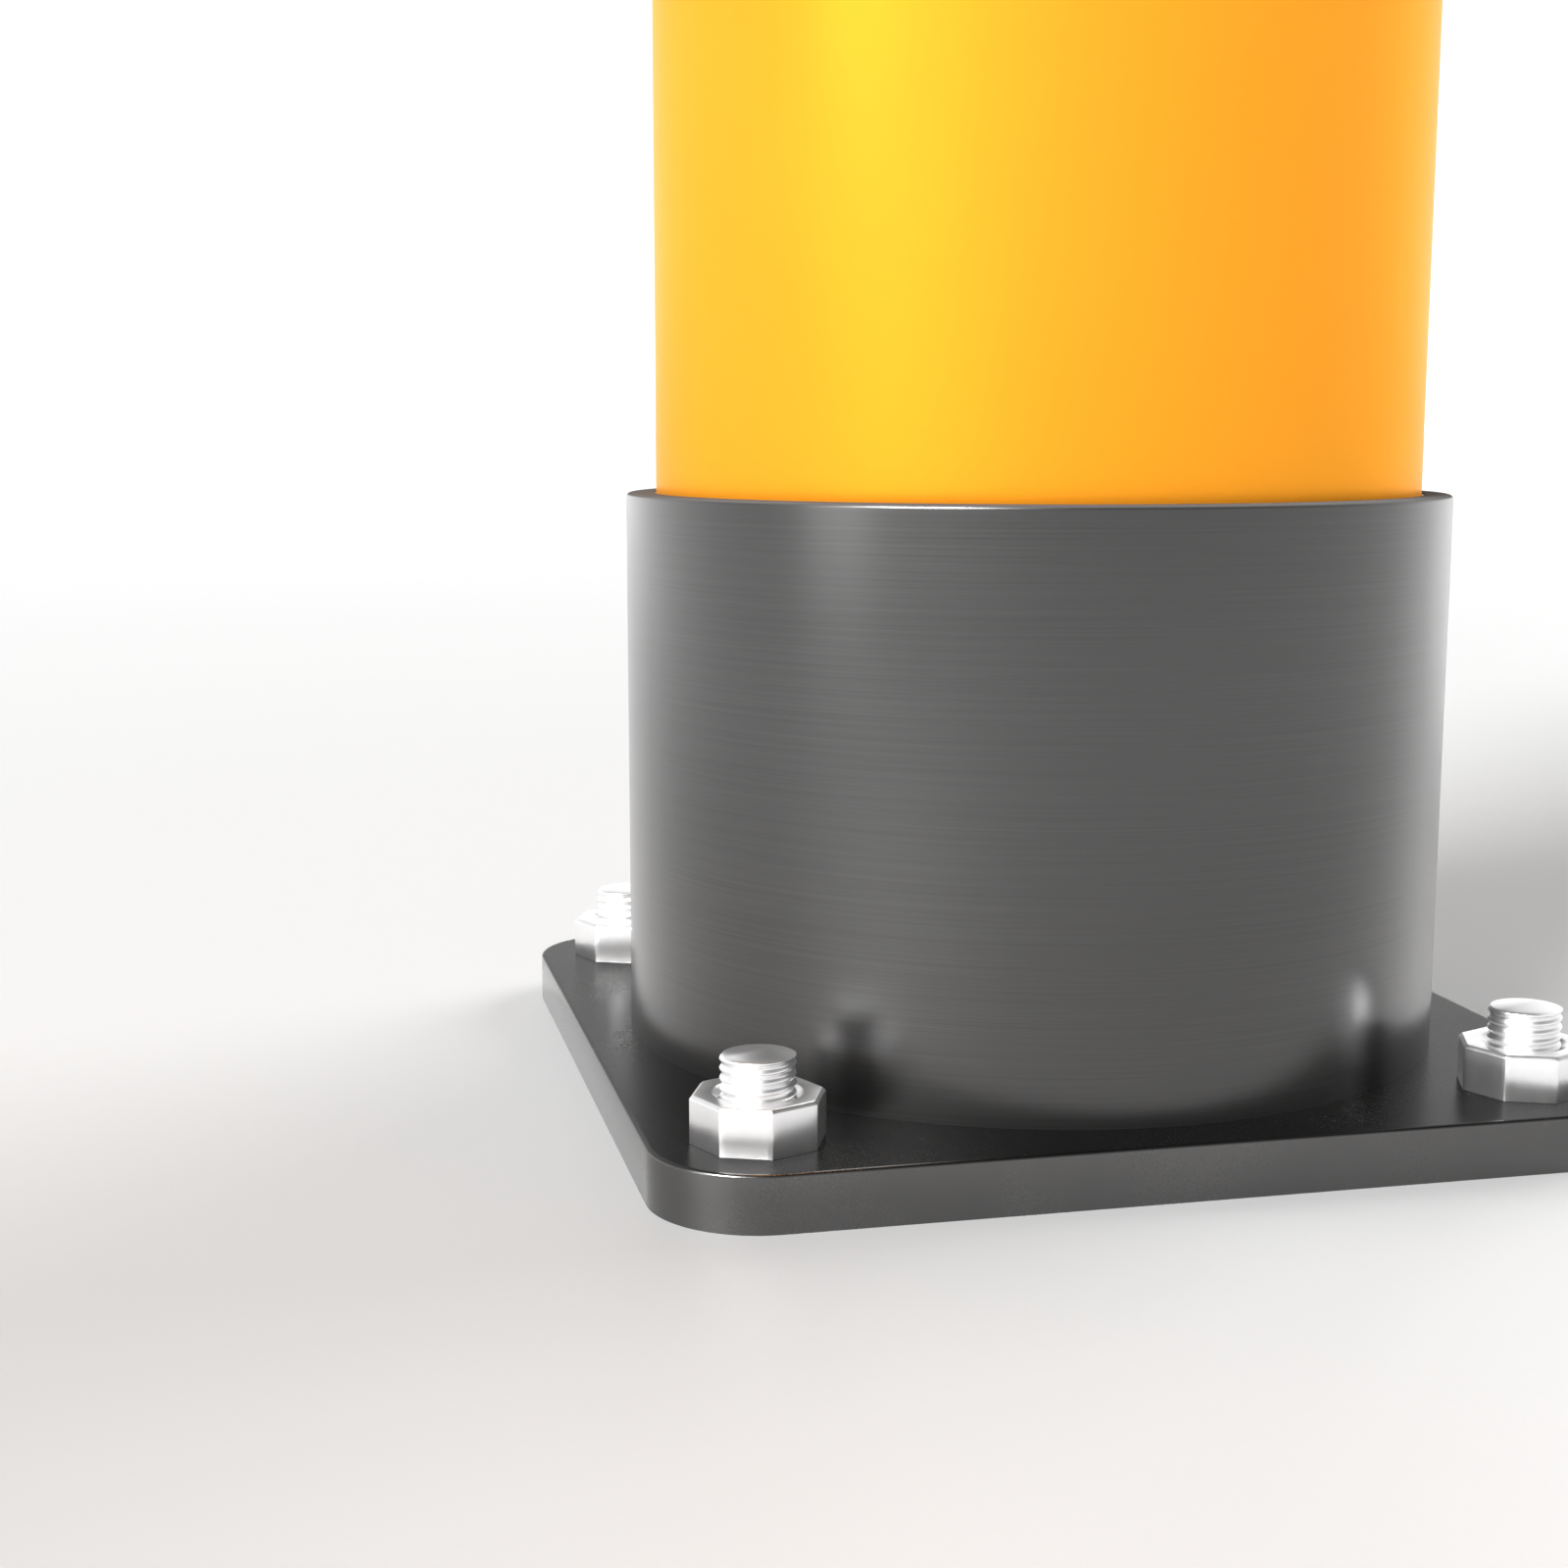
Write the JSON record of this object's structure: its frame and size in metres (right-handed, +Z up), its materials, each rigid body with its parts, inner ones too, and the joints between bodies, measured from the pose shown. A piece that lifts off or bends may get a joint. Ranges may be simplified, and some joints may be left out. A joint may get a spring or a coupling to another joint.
{
  "type": "bollard",
  "caption": "Bolt-down steel safety bollard: capped yellow tube post in a dark turned socket collar on a square base plate, held by anchor studs with eight-sided nuts.",
  "frame": {"origin": "middle of the base plate's underside, at floor level", "axes": "+Z up along the post's axis; X and Y along the sides of the square base plate"},
  "size_m": [0.216, 0.216, 1.088],
  "materials": {
    "yellow_paint": "glossy traffic-yellow powder coat",
    "dark_steel": "dark satin steel with fine turning lines",
    "zinc_plate": "bright zinc plating",
    "weld_metal": "rippled weld bead, darkened with the collar",
    "seal_rubber": "matt black rubber",
    "cap_plastic": "fine-grained moulded plastic, dark grey"
  },
  "bodies": {
    "root": {"base_plate": "dark_steel", "base_collar": "dark_steel", "collar_weld": "weld_metal", "socket_seal": "seal_rubber", "foot_disc": "yellow_paint", "foot_weld": "yellow_paint", "post_tube": "yellow_paint", "top_cap": "cap_plastic", "foot_screw_1": "zinc_plate", "foot_screw_2": "zinc_plate", "foot_screw_3": "zinc_plate", "foot_screw_4": "zinc_plate", "anchor_stud_1": "zinc_plate", "anchor_stud_2": "zinc_plate", "anchor_stud_3": "zinc_plate", "anchor_stud_4": "zinc_plate", "anchor_clip_1": "zinc_plate", "anchor_clip_2": "zinc_plate", "anchor_clip_3": "zinc_plate", "anchor_clip_4": "zinc_plate", "anchor_nut_1": "zinc_plate", "anchor_nut_2": "zinc_plate", "anchor_nut_3": "zinc_plate", "anchor_nut_4": "zinc_plate"}
  },
  "joints": []
}
